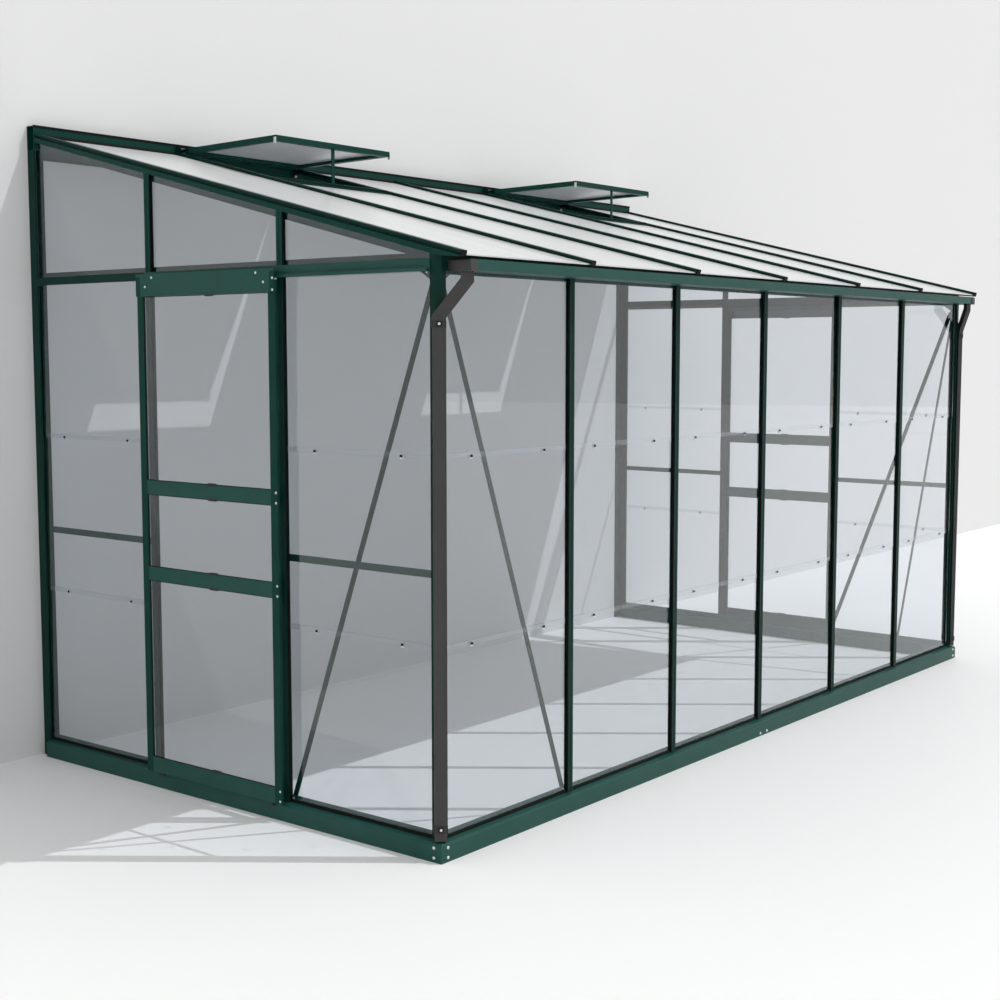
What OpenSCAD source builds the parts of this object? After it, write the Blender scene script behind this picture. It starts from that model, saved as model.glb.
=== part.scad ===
// Lean-to glass greenhouse: aluminium glazing bars, walls of lapped glass panes, a roof of twin-wall
// plastic sheets with two vents propped open, a sliding door in each gable, and an eaves gutter with a
// downpipe at each front corner.
// X runs along the front, Y from the front to the house wall, Z up from the ground.

/* [Plan] */
// Spacing of the glazing bars, centre to centre
bay = 620; // [560:5:700]
// Number of bays along the front
front_bays = 6; // [4:2:8]
// Height of the roof sheets' seat above the front wall
eave_h = 1743; // [1600:5:1900]
// Slope of the roof in degrees
roof_pitch = 14; // [10:1:22]
// Distance from the last glazing bar line to the house wall
wall_gap = 25; // [20:1:40]

/* [Glazing] */
// Thickness of the glass
glass = 3; // [3:0.5:4]
// Thickness of the twin-wall sheets in the roof and the vents
sheet = 4; // [3:0.2:4.4]
// Rows of panes in the front wall and in the gables
wall_rows = 3; // [2:1:4]
// Overlap of one pane over the pane below it
lap = 15; // [10:1:25]
// Depth of the glazing rebate between seat flange and cap
rebate = 8.5; // [8:0.5:11]

/* [Bars] */
// Width of the seat flange of a glazing bar
flange_w = 24; // [22:1:30]
// Thickness of flanges and webs
skin = 3; // [2.5:0.1:3.5]
// Depth of the bolt channel behind the seat flange
stem = 5; // [4:0.5:8]
// Width of the bolt channel
stem_w = 12; // [11:1:14]
// Width of the bar cap
cap_w = 25; // [22:1:28]
// Depth of the bar cap
cap_d = 6.5; // [5:0.5:9]
// Face width of a corner post
corner_w = 30; // [26:1:36]
// Chamfer on the outer edge of a corner post
corner_cut = 12; // [10:1:14]

/* [Sill] */
// Distance from the glass seat to the outer face of the sill
sill_out = 33; // [30:1:38]
// Distance from the glass seat to the inner face of the sill
sill_in = 25; // [22:1:32]
// Height of the ledge that carries the glass
ledge_h = 60; // [52:1:70]
// Height of the upstand behind the glass
upstand_h = 80; // [74:1:92]
// Length of each leg of the inner corner cleats
cleat = 60; // [40:5:90]
// Length of the splice plate of the front sill
splice = 160; // [100:10:240]

/* [Gutter] */
// Distance from the front glass seat to the gutter's front face
gutter_out = 98; // [85:1:115]
// Height of the gutter's front face
gutter_h = 33; // [28:1:44]
// Thickness of the gutter
gutter_t = 2.5; // [2:0.1:3]
// Width of the downpipe's face
pipe_w = 36; // [30:1:42]
// Depth of the downpipe
pipe_d = 18; // [16:1:22]
// Thickness of the downpipe's wall
pipe_t = 2; // [1.5:0.1:2.5]

/* [Ridge] */
// Depth of the wall bar at the ridge
ridge_d = 40; // [34:1:50]
// Rise of the wall bar above the roof sheets' seat at its front
ridge_rise = 42; // [36:1:60]
// Depth of the wall bar below the roof sheets' seat at its front
ridge_drop = 40; // [34:1:50]
// Radius of the holes for the wall bolts
bolt_r = 4.5; // [3.5:0.5:5.5]

/* [Doors] */
// Gap between the sill's outer face and the door leaf
leaf_gap = 5.5; // [5.5:0.5:8]
// Depth of the door's stiles and rails
leaf_d = 10; // [9:0.5:16]
// Width of a door stile
stile_w = 30; // [26:1:36]
// Height of the two middle rails
mid_rail_h = 46; // [32:1:56]
// Height of the lower middle rail's underside above ground
low_rail_z = 706; // [600:1:760]
// Height of the upper middle rail's underside above ground
high_rail_z = 992; // [900:1:1100]
// Height of the bottom rail
bottom_rail_h = 52; // [36:1:60]
// Height of the door leaf above ground
leaf_bottom = 57; // [54:1:64]
// Height of the header plate that hides the track
header_h = 72; // [60:1:80]
// Radius of a door roller
roller_r = 11; // [9:0.5:12]

/* [Vents] */
// Length of a roof vent from its hinge to its free edge
vent_len = 498; // [440:2:540]
// Opening angle of a roof vent in degrees, from the roof slope
vent_open = 15; // [14:0.5:30]
// Depth of the vent's frame
vent_d = 20; // [18:1:26]
// Width of the vent's frame bars
vent_bar = 25; // [20:1:30]
// Bay that holds the first vent, counted from the end
vent_bay = 2; // [1:1:2]

/* [Inner bracing] */
// Width of the flat diagonal braces
brace_w = 18; // [14:1:24]
// Height of the gable's inner middle rails above ground
mid_bar_z = 817; // [760:1:880]
// Height of the gable's inner middle rails
mid_bar_h = 22; // [18:1:34]

/* [Hidden] */
$fn = 48;

// Finishes
green = "#2b4f45";
dark_green = "#173a31";
pipe_grey = "#403f3d";
nylon = "#1d1f1f";
pane = [0.75, 0.83, 0.86, 0.35];
milky = [0.9, 0.91, 0.91, 0.85];

// Small clearances: seats that rest on each other, and glass in its rebate
seat = 0.2;
play = 0.5;
far = 9000;

// Plan: the glass seats lie on the outermost bar lines
gable_bays = 3;
gable_len = gable_bays * bay;
x_gable = front_bays * bay / 2;
wall_v = gable_len + wall_gap;
y_front = (gutter_out - wall_v) / 2;
slope = tan(roof_pitch);
function bar_x(i) = (i - front_bays / 2) * bay;
// Height of the roof seat at distance v behind the front seat
function roof_z(v) = eave_h + v * slope;
// Height at distance v of the plane that lies n outside the roof seat
function roof_plane_z(v, n) = roof_z(v) + n / cos(roof_pitch);

// Bars
web_w = 4;
cap_out = rebate + cap_d;
pane_edge = web_w / 2 + 1.5;
slot_w = 6.5;
stem_t = 1.5;
stem_in = stem + skin;
corner_in = corner_w - cap_out;
corner_t = 2.5;
lip_t = 2.5;
corner_bearing = 10;
corner_flange = corner_in + corner_bearing;
corner_lip = 6;
wall_leg = 48;
wall_leg_t = 4;
wall_lip = 12;

// Panes: a bay between two bars, and a bay that ends at a corner post
corner_play = 2;
corner_edge = corner_in + corner_play;
corner_pane = bay - pane_edge - corner_edge;
bar_pane = bay - 2 * pane_edge;

// Eaves
gutter_lip_z = roof_plane_z(-gutter_out, -skin) - seat;
gutter_z = gutter_lip_z - gutter_h;
eave_bridge_z = gutter_z + 20;
eave_web_top = roof_plane_z(0, -skin) - seat;
eave_web_drop = 9;
eave_web_z = gutter_z - eave_web_drop;
eave_end = corner_flange + seat;
tip_back = 4;
tip_s = -(gutter_out - cap_out * sin(roof_pitch) - tip_back) / cos(roof_pitch);
stem_s = (skin + 1) / cos(roof_pitch);

// Gables
rafter_drop = 16;
rafter_leg = 38;
rafter_leg_in = skin + seat;
rail_drop = 25;
rail_top = eave_h - rail_drop;
rail_h = 27;
rail_upstand = 16;
rail_bridge = 11;
front_glass_top = eave_bridge_z - seat;
// Clear spans between the seat flanges of the gable's uprights, one for each bay
gable_spans = [
    [corner_flange + seat, bay - flange_w / 2 - seat],
    [bay + flange_w / 2 + seat, 2 * bay - flange_w / 2 - seat],
    [2 * bay + flange_w / 2 + seat, gable_len - flange_w / 2 - seat]
];

// Ridge
ridge_v = wall_v - ridge_d;
ridge_top = roof_z(ridge_v) + ridge_rise;
ridge_bottom = roof_z(ridge_v) - ridge_drop;
roof_s = ridge_v / cos(roof_pitch);
ridge_play = 6;
drip = 14;
sheet_top_s = roof_s - ridge_play;
sheet_low_s = -(gutter_out - drip) / cos(roof_pitch);

// Doors
leaf_in = sill_out + leaf_gap;
leaf_out = leaf_in + leaf_d;
leaf_v0 = bay - stile_w / 2;
leaf_v1 = 2 * bay + stile_w / 2;
leaf_t = 2;
header_t = 4;
header_drop = 9;
header_top = rail_top - header_drop;
track_h = 37;
track_z = rail_top - track_h;
track_play = 7;
leaf_top = track_z - track_play;
groove = 8;
groove_w = 5;
track_reach = 15;
track_lip_d = cap_out + track_reach;
track_lip_h = 6;
roller_w = 8;
roller_groove = 3;
roller_play = 0.3;
roller_z = track_z + skin + track_lip_h + roller_r - roller_groove + roller_play;
roller_inset = 60;
axle_r = 3;

// Vents
vent_phi = roof_pitch - vent_open;
vent_lip = 12;
vent_back = 40;
vent_v = ridge_v - vent_back;
vent_z = roof_plane_z(vent_v, cap_out) + play;
vent_side_play = 8.5;
vent_w = bay - 2 * vent_side_play;
vent_sill_w = 30;
vent_end_v = vent_v - vent_len * cos(vent_phi);
vent_overhang = 8;
vent_sill_s = (vent_end_v - vent_overhang) / cos(roof_pitch);
vent_sill_rise = 17;
vent_upstand = 8;
prop_w = 16;
prop_t = 3;
vents = [bar_x(vent_bay - 0.5), -bar_x(vent_bay - 0.5)];
function has_vent(i) = i == vent_bay - 1 || i == front_bays - vent_bay;

// Braces: flat bars from the sill's upstand to the corner post's flange, with gussets above them
brace_foot = upstand_h - 10;
brace_foot_in = 19;
brace_top = gutter_z - 43;
brace_in = skin + seat;
gusset_foot = brace_top + brace_w / 2 + play;
gusset_top = rail_top - rail_bridge;
gusset_reach = 72;
gusset_edge = 22;

// Downpipe: its back lies on the corner's chamfer, the swan neck runs neck_t towards the gutter
pipe_back = (2 * cap_out - corner_cut) / sqrt(2) + seat;
pipe_foot = ledge_h + 2;
neck_t = 80;
neck_drop = 26;
neck_rise = 102;
pipe_top = gutter_z - neck_drop - neck_rise;
pipe_mid = pipe_back + pipe_d / 2;
outlet_t = 2.5;
outlet_len = 30;
outlet_back = 55;
outlet_r = 6;
outlet_z = gutter_z - seat - outlet_t;

// Places: each takes its children from a local frame to the greenhouse's frame

// Both sides: the left gable as drawn, and its mirror image
module both_sides() {
    children();
    mirror([1, 0, 0]) children();
}

module right_side() {
    mirror([1, 0, 0]) children();
}

// Roof frame: x along the front, y up the slope from the front seat, z out of the roof
module on_roof() {
    translate([0, y_front, eave_h]) rotate([roof_pitch, 0, 0]) children();
}

// Everything above the plane that lies n outside the roof seat
module above_roof(n) {
    on_roof() translate([-far / 2, -far / 2, n]) cube(far);
}

// Upright bar in the front wall at x: profile width along X, its depth outwards
module front_upright(x, z0, z1) {
    translate([x, y_front, z0]) linear_extrude(z1 - z0) rotate(180) children();
}

// Upright bar in the left gable at distance v behind the front seat
module gable_upright(v, z0, z1) {
    translate([-x_gable, y_front + v, z0]) linear_extrude(z1 - z0) rotate(90) children();
}

// Rail along the front: section drawn as depth outwards by height
module front_rail(x0, x1) {
    translate([x0, y_front, 0]) rotate([90, 0, 90]) linear_extrude(x1 - x0)
        mirror([1, 0]) children();
}

// Rail along the left gable between the distances v0 and v1
module gable_rail(v0, v1) {
    translate([-x_gable, y_front + v1, 0]) rotate([90, 0, 0]) linear_extrude(v1 - v0)
        mirror([1, 0]) children();
}

// Bar up the roof slope at x between s0 and s1, cut plumb at the ridge's front face
module roof_run(x, s0, s1) {
    difference() {
        on_roof() translate([x, s1, 0]) rotate([90, 0, 0]) linear_extrude(s1 - s0) children();
        translate([-far / 2, y_front + ridge_v, 0]) cube(far);
    }
}

// Rectangle given by its two corners
module rect(a0, b0, a1, b1) {
    translate([a0, b0]) square([a1 - a0, b1 - b0]);
}

// Profiles: width across the bar by depth outwards from the glass seat

// Seat flange and the web that parts two panes
module bar_seat() {
    rect(-flange_w / 2, -skin, flange_w / 2, 0);
    rect(-web_w / 2, -skin, web_w / 2, rebate);
}

// Bolt channel behind the seat flange, open towards the room
module bar_channel() {
    for (side = [0, 1]) mirror([side, 0]) {
        rect(slot_w / 2, -stem_in, stem_w / 2, -stem_in + stem_t);
        rect(stem_w / 2 - stem_t, -stem_in, stem_w / 2, -skin);
    }
}

module bar_profile() {
    bar_seat();
    bar_channel();
}

// Cap that holds the panes down: a hollow section with a shadow groove along its face
module cap_profile() {
    cap_groove = 3;
    cap_face = 3;
    cap_leg = 2.5;
    difference() {
        rect(-cap_w / 2, cap_out - cap_face, cap_w / 2, cap_out);
        rect(-cap_groove / 2, cap_out - 1, cap_groove / 2, cap_out + 1);
    }
    rect(-web_w / 2, rebate, web_w / 2, cap_out - cap_face);
    for (side = [0, 1]) mirror([side, 0])
        rect(cap_w / 2 - cap_leg, rebate, cap_w / 2, cap_out - cap_face);
}

// Corner post: a chamfered tube with a glazing rebate on each side
module corner_profile() {
    o = cap_out;
    i = -corner_in;
    c = corner_cut;
    t = corner_t;
    difference() {
        polygon([[o, i], [o, o - c], [o - c, o], [i, o], [i, i]]);
        polygon([[o - t, i + t], [o - t, o - t - c], [o - t - c, o - t], [i + t, o - t], [i + t, i + t]]);
    }
    for (flip = [0, 1]) mirror([flip, -flip]) {
        rect(-skin, -corner_flange, 0, i);
        rect(rebate, i - corner_lip, rebate + lip_t, i);
    }
}

// Wall post: glazing rebate towards the front and a leg that is bolted to the house wall
module wall_post_profile() {
    rect(-flange_w / 2, -skin, wall_gap, 0);
    rect(wall_gap - wall_leg_t, -wall_leg, wall_gap, cap_out);
    rect(-web_w / 2, 0, web_w / 2, cap_out);
    rect(-wall_lip, cap_out - skin, wall_gap, cap_out);
    rect(-wall_lip, rebate, -wall_lip + lip_t, cap_out);
}

// Sill: hollow extrusion with a sloped ledge for the glass and an upstand behind it
module sill_section() {
    shoulder_h = ledge_h - 10;
    shoulder_d = 5;
    ledge_drop = 4;
    inner_h = ledge_h - 2 * ledge_drop;
    difference() {
        polygon([
            [-sill_in, 0], [sill_out, 0], [sill_out, shoulder_h],
            [sill_out - shoulder_d, ledge_h - ledge_drop], [rebate + play, ledge_h], [0, ledge_h],
            [0, upstand_h], [-skin, upstand_h], [-skin, ledge_h - ledge_drop], [-sill_in, inner_h]
        ]);
        polygon([
            [-sill_in + skin, skin], [sill_out - skin, skin], [sill_out - skin, shoulder_h - 1],
            [sill_out - shoulder_d - skin, ledge_h - ledge_drop - skin], [rebate, ledge_h - skin],
            [-skin, ledge_h - ledge_drop - skin], [-sill_in + skin, inner_h - skin]
        ]);
    }
}

// Pieces

// Upstands stop at the corner posts, which stand on the ledges
module corner_seat_cut() {
    reach = corner_flange + seat;
    both_sides() translate([-x_gable - cap_out - seat, y_front - cap_out - seat, ledge_h])
        cube([reach + cap_out + seat, reach + cap_out + seat, upstand_h]);
}

module front_sill_half() {
    difference() {
        intersection() {
            front_rail(-x_gable - sill_out, 0) sill_section();
            translate([0, y_front, 0]) linear_extrude(upstand_h) polygon([
                [-x_gable - sill_out, -sill_out], [0, -sill_out], [0, sill_in],
                [-x_gable + sill_in, sill_in]
            ]);
        }
        corner_seat_cut();
    }
}

module front_sill_left() {
    color(green) front_sill_half();
}

module front_sill_right() {
    color(green) right_side() front_sill_half();
}

module gable_sill() {
    sill_end = gable_len - flange_w / 2 - seat;
    difference() {
        intersection() {
            gable_rail(-sill_out, sill_end) sill_section();
            translate([-x_gable, y_front, 0]) linear_extrude(upstand_h) polygon([
                [-sill_out, -sill_out], [sill_in, sill_in], [sill_in, sill_end], [-sill_out, sill_end]
            ]);
        }
        corner_seat_cut();
    }
}

module left_gable_sill() {
    color(green) gable_sill();
}

module right_gable_sill() {
    color(green) right_side() gable_sill();
}

// Angle cleats inside the mitred corners
module sill_corner_cleats() {
    cleat_t = 4;
    cleat_h = ledge_h - 20;
    color(dark_green) both_sides()
        translate([-x_gable + sill_in, y_front + sill_in, 0]) difference() {
            cube([cleat, cleat, cleat_h]);
            translate([cleat_t, cleat_t, -1]) cube([cleat, cleat, cleat_h + 2]);
        }
}

// Plate behind the joint of the two front sills
module front_sill_splice() {
    splice_t = 4;
    splice_h = ledge_h - 20;
    color(dark_green) translate([-splice / 2, y_front + sill_in, 0]) cube([splice, splice_t, splice_h]);
}

module corner_posts() {
    color(green) both_sides() difference() {
        translate([-x_gable, y_front, ledge_h]) linear_extrude(eave_h) rotate(180) corner_profile();
        above_roof(-rafter_drop - seat);
    }
}

// Hole for a bolt into the house wall
module wall_bolt_hole(x, z) {
    translate([x, y_front + wall_v + 1, z]) rotate([90, 0, 0]) cylinder(r = bolt_r, h = 2 * wall_leg_t);
}

module wall_posts() {
    bolt_end = 300;
    bolt_zs = [bolt_end, ridge_bottom - bolt_end];
    color(green) both_sides() difference() {
        gable_upright(gable_len, 0, ridge_bottom - seat) wall_post_profile();
        for (z = bolt_zs) wall_bolt_hole(-x_gable + wall_leg / 2, z);
    }
}

module front_bars() {
    color(dark_green) for (i = [1 : front_bays - 1])
        front_upright(bar_x(i), upstand_h, eave_web_z - seat) bar_profile();
}

module front_bar_caps() {
    color(green) for (i = [1 : front_bays - 1])
        front_upright(bar_x(i), ledge_h, gutter_z - seat) cap_profile();
}

// Room of the rafter's inner leg, behind the glass seat and above the leg's lower edge
module rafter_leg_room() {
    on_roof() translate([-x_gable + rafter_leg_in - seat, -far / 2, -rafter_leg - seat]) cube(far);
}

// Upright bars beside the doorway, notched for the cross rail and the rafter's leg
module door_posts() {
    for (j = [1, 2]) difference() {
        gable_upright(j * bay, upstand_h, eave_h + far / 10) bar_profile();
        above_roof(-rafter_drop - seat);
        rafter_leg_room();
        gable_rail(j * bay - bay / 2, j * bay + bay / 2)
            rect(0, rail_top - rail_h - seat, far, rail_top + seat);
    }
}

module left_door_posts() {
    color(dark_green) door_posts();
}

module right_door_posts() {
    color(dark_green) right_side() door_posts();
}

module gable_bar_caps() {
    color(green) both_sides() for (j = [1, 2]) {
        gable_upright(j * bay, ledge_h, rail_top - rail_h - seat) cap_profile();
        difference() {
            gable_upright(j * bay, rail_top + seat, eave_h + far / 10) cap_profile();
            above_roof(-rafter_drop - seat);
        }
    }
}

// Rail over the door with a glazing rebate above and below, and an upstand behind the upper panes
module gable_cross_rails() {
    v0 = corner_in + corner_lip + seat;
    v1 = gable_len - wall_lip - seat;
    bridge_z = rail_top - rail_bridge - skin;
    color(green) both_sides() {
        gable_rail(v0, v1) {
            rect(cap_out - skin, rail_top - rail_h, cap_out, rail_top);
            rect(0, bridge_z, cap_out, bridge_z + skin);
            rect(rebate, rail_top - rail_h + skin, rebate + lip_t, rail_top - skin);
        }
        for (span = gable_spans) gable_rail(span[0], span[1])
            rect(-skin, bridge_z, 0, rail_top + rail_upstand);
    }
}

// Flat rails behind the glass at middle height, beside the doorway
module gable_mid_rails() {
    color(dark_green) both_sides() for (span = [gable_spans[0], gable_spans[2]])
        gable_rail(span[0], span[1]) rect(-skin, mid_bar_z, 0, mid_bar_z + mid_bar_h);
}

// Flat brace between two points of a wall, drawn as distance along the wall by height
module brace_outline(run, z0, z1) {
    tilt = atan2(z1 - z0, run);
    long = sqrt(run * run + (z1 - z0) * (z1 - z0));
    translate([0, z0]) rotate(tilt) {
        translate([0, -brace_w / 2]) square([long, brace_w]);
        circle(d = brace_w);
        translate([long, 0]) circle(d = brace_w);
    }
}

// Plates behind the glass of the front wall and of the gable, drawn in the first bay beside the
// corner as distance from the corner by height
module both_walls(thick) {
    both_sides() {
        translate([-x_gable, y_front + brace_in + thick, 0]) rotate([90, 0, 0])
            linear_extrude(thick) children();
        translate([-x_gable + brace_in, y_front, 0]) rotate([90, 0, 90])
            linear_extrude(thick) children();
    }
}

module corner_braces() {
    run = bay - brace_foot_in - corner_flange;
    color(dark_green) both_walls(skin) translate([bay - brace_foot_in, 0])
        mirror([1, 0]) brace_outline(run, brace_foot, brace_top);
}

module eave_gussets() {
    near = corner_in + seat;
    color(dark_green) both_walls(skin) polygon([
        [near, gusset_foot], [gusset_reach, gusset_top - gusset_edge], [gusset_reach, gusset_top],
        [near, gusset_top]
    ]);
}

// Eaves, in two lengths that meet at the middle bar: the web carries the roof bars, the bridge closes
// the glass rebate, the trough is the gutter
module eaves_gutter() {
    lip_in = 8;
    color(green) difference() {
        both_sides() front_rail(-x_gable + eave_end, -seat) {
            rect(-skin, eave_web_z, 0, eave_web_top);
            rect(-skin, eave_bridge_z, rebate + gutter_t, eave_bridge_z + gutter_t);
            rect(rebate, gutter_z, rebate + gutter_t, eave_bridge_z + gutter_t);
            rect(rebate, gutter_z, gutter_out, gutter_z + gutter_t);
            rect(gutter_out - gutter_t, gutter_z, gutter_out, gutter_lip_z - gutter_t);
            rect(gutter_out - lip_in, gutter_lip_z - 2 * gutter_t, gutter_out, gutter_lip_z - gutter_t);
        }
        outlet_holes();
    }
}

// Drain holes over the mouths of the downpipes
module outlet_holes() {
    both_sides() at_corner() translate([neck_t, pipe_mid, outlet_z - 1])
        cylinder(r = outlet_r, h = 2 * outlet_t + gutter_t + 2);
}

// Outlets: a saddle under each end of the gutter, with a plate that closes the gutter's end
module gutter_outlets() {
    a0 = eave_end - outlet_t - seat;
    top = gutter_lip_z - 2 * gutter_t;
    front = gutter_out + outlet_t + seat;
    plate_back = cap_out + 2;
    color(pipe_grey) difference() {
        both_sides() difference() {
            union() {
                front_rail(-x_gable + a0, -x_gable + a0 + outlet_len) rect(outlet_back, outlet_z, front, top);
                front_rail(-x_gable + a0, -x_gable + a0 + outlet_t) rect(plate_back, outlet_z, front, top);
            }
            front_rail(-x_gable + eave_end - seat, 0) rect(0, gutter_z - seat, gutter_out + seat, far);
        }
        outlet_holes();
    }
}

// Downpipe: flat pipe on the corner's chamfer, with a swan neck up to the gutter.
// Local frame: x along the pipe's face towards the gutter, y along the pipe's face normal.
module at_corner() {
    translate([-x_gable, y_front, 0]) rotate(-45) mirror([0, 1, 0]) children();
}

// Outline of the pipe at width w, run past its two ends by over
module neck_outline(w, over) {
    h = w / 2;
    shift = h * tan(atan2(neck_t, neck_rise) / 2);
    foot = pipe_foot - over;
    mouth = outlet_z - seat + over;
    bend = pipe_top + neck_rise;
    polygon([
        [-h, foot], [h, foot], [h, pipe_top - shift], [neck_t + h, bend - shift], [neck_t + h, mouth],
        [neck_t - h, mouth], [neck_t - h, bend + shift], [-h, pipe_top + shift]
    ]);
}

module downpipe() {
    at_corner() translate([0, pipe_back + pipe_d, 0]) rotate([90, 0, 0]) difference() {
        linear_extrude(pipe_d) neck_outline(pipe_w, 0);
        translate([0, 0, pipe_t]) linear_extrude(pipe_d - 2 * pipe_t) neck_outline(pipe_w - 2 * pipe_t, 1);
    }
}

module left_downpipe() {
    color(pipe_grey) downpipe();
}

module right_downpipe() {
    color(pipe_grey) right_side() downpipe();
}

// Straps round the pipe's face, one below the swan neck and one at the foot
module downpipe_clips() {
    clip_t = 2;
    clip_h = 21;
    clip_zs = [pipe_foot + 24, pipe_top - 30];
    w = pipe_w + 2 * (clip_t + seat);
    color(pipe_grey) both_sides() at_corner() for (z = clip_zs) translate([0, pipe_back, z])
        difference() {
            translate([-w / 2, 0, 0]) cube([w, pipe_d + seat + clip_t, clip_h]);
            translate([-pipe_w / 2 - seat, -1, -1]) cube([pipe_w + 2 * seat, pipe_d + seat + 1, clip_h + 2]);
        }
}

// Bar on the house wall: front face, top, back plate with bolt holes, and a lip under each vent
module wall_ridge_bar() {
    tongue = 30;
    bolt_xs = [bar_x(1), -bar_x(1)];
    bolt_z = ridge_bottom - tongue / 2;
    v0 = ridge_v;
    v1 = wall_v;
    half = x_gable + cap_out;
    tongue_half = x_gable - wall_leg - play;
    lip_half = (bay - cap_w) / 2 - play;
    color(green) difference() {
        union() {
            translate([-half, y_front, 0]) rotate([90, 0, 90]) linear_extrude(2 * half) {
                rect(v0, ridge_bottom, v0 + skin, ridge_top);
                rect(v0, ridge_top - skin, v1, ridge_top);
                rect(v1 - skin, ridge_bottom, v1, ridge_top);
                rect(v0, ridge_bottom, v0 + 3 * skin, ridge_bottom + skin);
            }
            translate([-tongue_half, y_front, 0]) rotate([90, 0, 90]) linear_extrude(2 * tongue_half)
                rect(v1 - skin, ridge_bottom - tongue, v1, ridge_top);
            for (x = vents) translate([x - lip_half, y_front, 0]) rotate([90, 0, 90])
                linear_extrude(2 * lip_half)
                    rect(vent_v - vent_lip, vent_z - seat - skin, v0 + skin, vent_z - seat);
        }
        for (x = bolt_xs) wall_bolt_hole(x, bolt_z);
    }
}

// Rafter on the gable: carries the roof sheets on top and holds the gable glass between its face
// and its inner leg, which starts behind the corner post
module gable_rafters() {
    leg_s = (corner_flange + seat) / cos(roof_pitch);
    color(green) both_sides() {
        roof_run(-x_gable, tip_s, roof_s + rafter_leg) {
            rect(-cap_out, -skin, flange_w / 2, 0);
            rect(-web_w / 2, -skin, web_w / 2, rebate);
        }
        roof_run(-x_gable, -cap_out, roof_s + rafter_leg) {
            rect(-cap_out, -rafter_drop, -cap_out + skin, 0);
            rect(-cap_out, -rafter_drop, -rebate - 1, -rafter_drop + lip_t);
        }
        roof_run(-x_gable, leg_s, roof_s + rafter_leg)
            rect(rafter_leg_in, -rafter_leg, rafter_leg_in + skin, 0);
    }
}

module roof_bars() {
    color(dark_green) for (i = [1 : front_bays - 1]) {
        roof_run(bar_x(i), tip_s, roof_s + rafter_drop) bar_seat();
        roof_run(bar_x(i), stem_s, roof_s + rafter_drop) bar_channel();
    }
}

module roof_bar_caps() {
    color(green) for (i = [0 : front_bays])
        roof_run(bar_x(i), tip_s, roof_s + rafter_drop) cap_profile();
}

// Column of lapped panes: each pane leans out at its foot to lie over the pane below
module lapped_panes(w, length, rows) {
    pitch = length / rows;
    lift = glass + seat;
    for (k = [0 : rows - 1]) {
        size = k < rows - 1 ? pitch + lap : pitch;
        translate([0, k * pitch, seat + lift]) rotate([-atan(lift / (pitch + lap)), 0, 0])
            cube([w, size, glass]);
    }
}

module front_glass() {
    z0 = ledge_h + seat;
    rise = front_glass_top - z0;
    color(pane) for (i = [0 : front_bays - 1]) {
        first = i == 0;
        last = i == front_bays - 1;
        x0 = bar_x(i) + (first ? corner_edge : pane_edge);
        translate([x0, y_front, z0]) rotate([90, 0, 0])
            lapped_panes(first || last ? corner_pane : bar_pane, rise, wall_rows);
    }
}

// Lapped panes beside the doorway, and one pane in each bay above the cross rail
module gable_glass() {
    z0 = ledge_h + seat;
    rise = rail_top - rail_bridge - skin - seat - z0;
    sides = [[corner_edge, bay - pane_edge], [2 * bay + pane_edge, gable_len - pane_edge]];
    for (s = sides)
        translate([-x_gable, y_front + s[1], z0]) rotate([90, 0, -90])
            lapped_panes(s[1] - s[0], rise, wall_rows);
    tops = [
        [corner_edge, bay - pane_edge], [bay + pane_edge, 2 * bay - pane_edge],
        [2 * bay + pane_edge, gable_len - pane_edge]
    ];
    foot = rail_top - rail_bridge + seat;
    tuck = rafter_drop / 2;
    translate([-x_gable - seat - glass, y_front, 0]) rotate([90, 0, 90]) linear_extrude(glass)
        difference() {
            for (t = tops) polygon([
                [t[0], foot], [t[1], foot],
                [t[1], roof_plane_z(t[1], -tuck)], [t[0], roof_plane_z(t[0], -tuck)]
            ]);
            rect(ridge_v - seat, ridge_bottom - seat, wall_v, ridge_top);
        }
}

module left_gable_glass() {
    color(pane) gable_glass();
}

module right_gable_glass() {
    color(pane) right_side() gable_glass();
}

// One sheet in each bay of the roof, from the ridge or the vent's cross bar to the gutter
module roof_sheets() {
    color(milky) for (i = [0 : front_bays - 1]) {
        top_s = has_vent(i) ? vent_sill_s - seat : sheet_top_s;
        on_roof() translate([bar_x(i) + pane_edge, sheet_low_s, seat])
            cube([bar_pane, top_s - sheet_low_s, sheet]);
    }
}

// Cross bars in the roof that the vents close on
module vent_sills() {
    color(dark_green) for (x = vents) on_roof() translate([x, vent_sill_s, 0]) {
        translate([-bar_pane / 2, 0, seat]) cube([bar_pane, vent_sill_w, rebate - 2 * seat]);
        translate([-(bay - cap_w) / 2 + 1, vent_sill_w - vent_upstand, seat])
            cube([bay - cap_w - 2, vent_upstand, vent_sill_rise]);
    }
}

// Vent frame: x along the ridge, y towards the ridge from the free edge's side, z out of the vent
module on_vent(x) {
    translate([x, y_front + vent_v, vent_z]) rotate([vent_phi, 0, 0]) children();
}

// Hollow bar of the vent's frame: width from its outer edge by depth
module vent_bar_section() {
    difference() {
        square([vent_bar, vent_d]);
        rect(leaf_t, leaf_t, vent_bar - groove - leaf_t, vent_d - leaf_t);
    }
}

module vent_end_rails() {
    color(green) for (x = vents) on_vent(x) difference() {
        for (end = [0, 1]) translate([0, -end * vent_len, 0]) mirror([0, 1 - end, 0])
            translate([-vent_w / 2, 0, 0]) rotate([90, 0, 90]) linear_extrude(vent_w) vent_bar_section();
        vent_groove();
    }
}

module vent_side_bars() {
    reach = vent_len - 2 * vent_bar - 2 * seat;
    color(green) for (x = vents) on_vent(x) difference() {
        for (side = [0, 1]) mirror([side, 0, 0]) translate([-vent_w / 2, -vent_bar - seat, 0])
            rotate([90, 0, 0]) linear_extrude(reach) vent_bar_section();
        vent_groove();
    }
}

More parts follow.
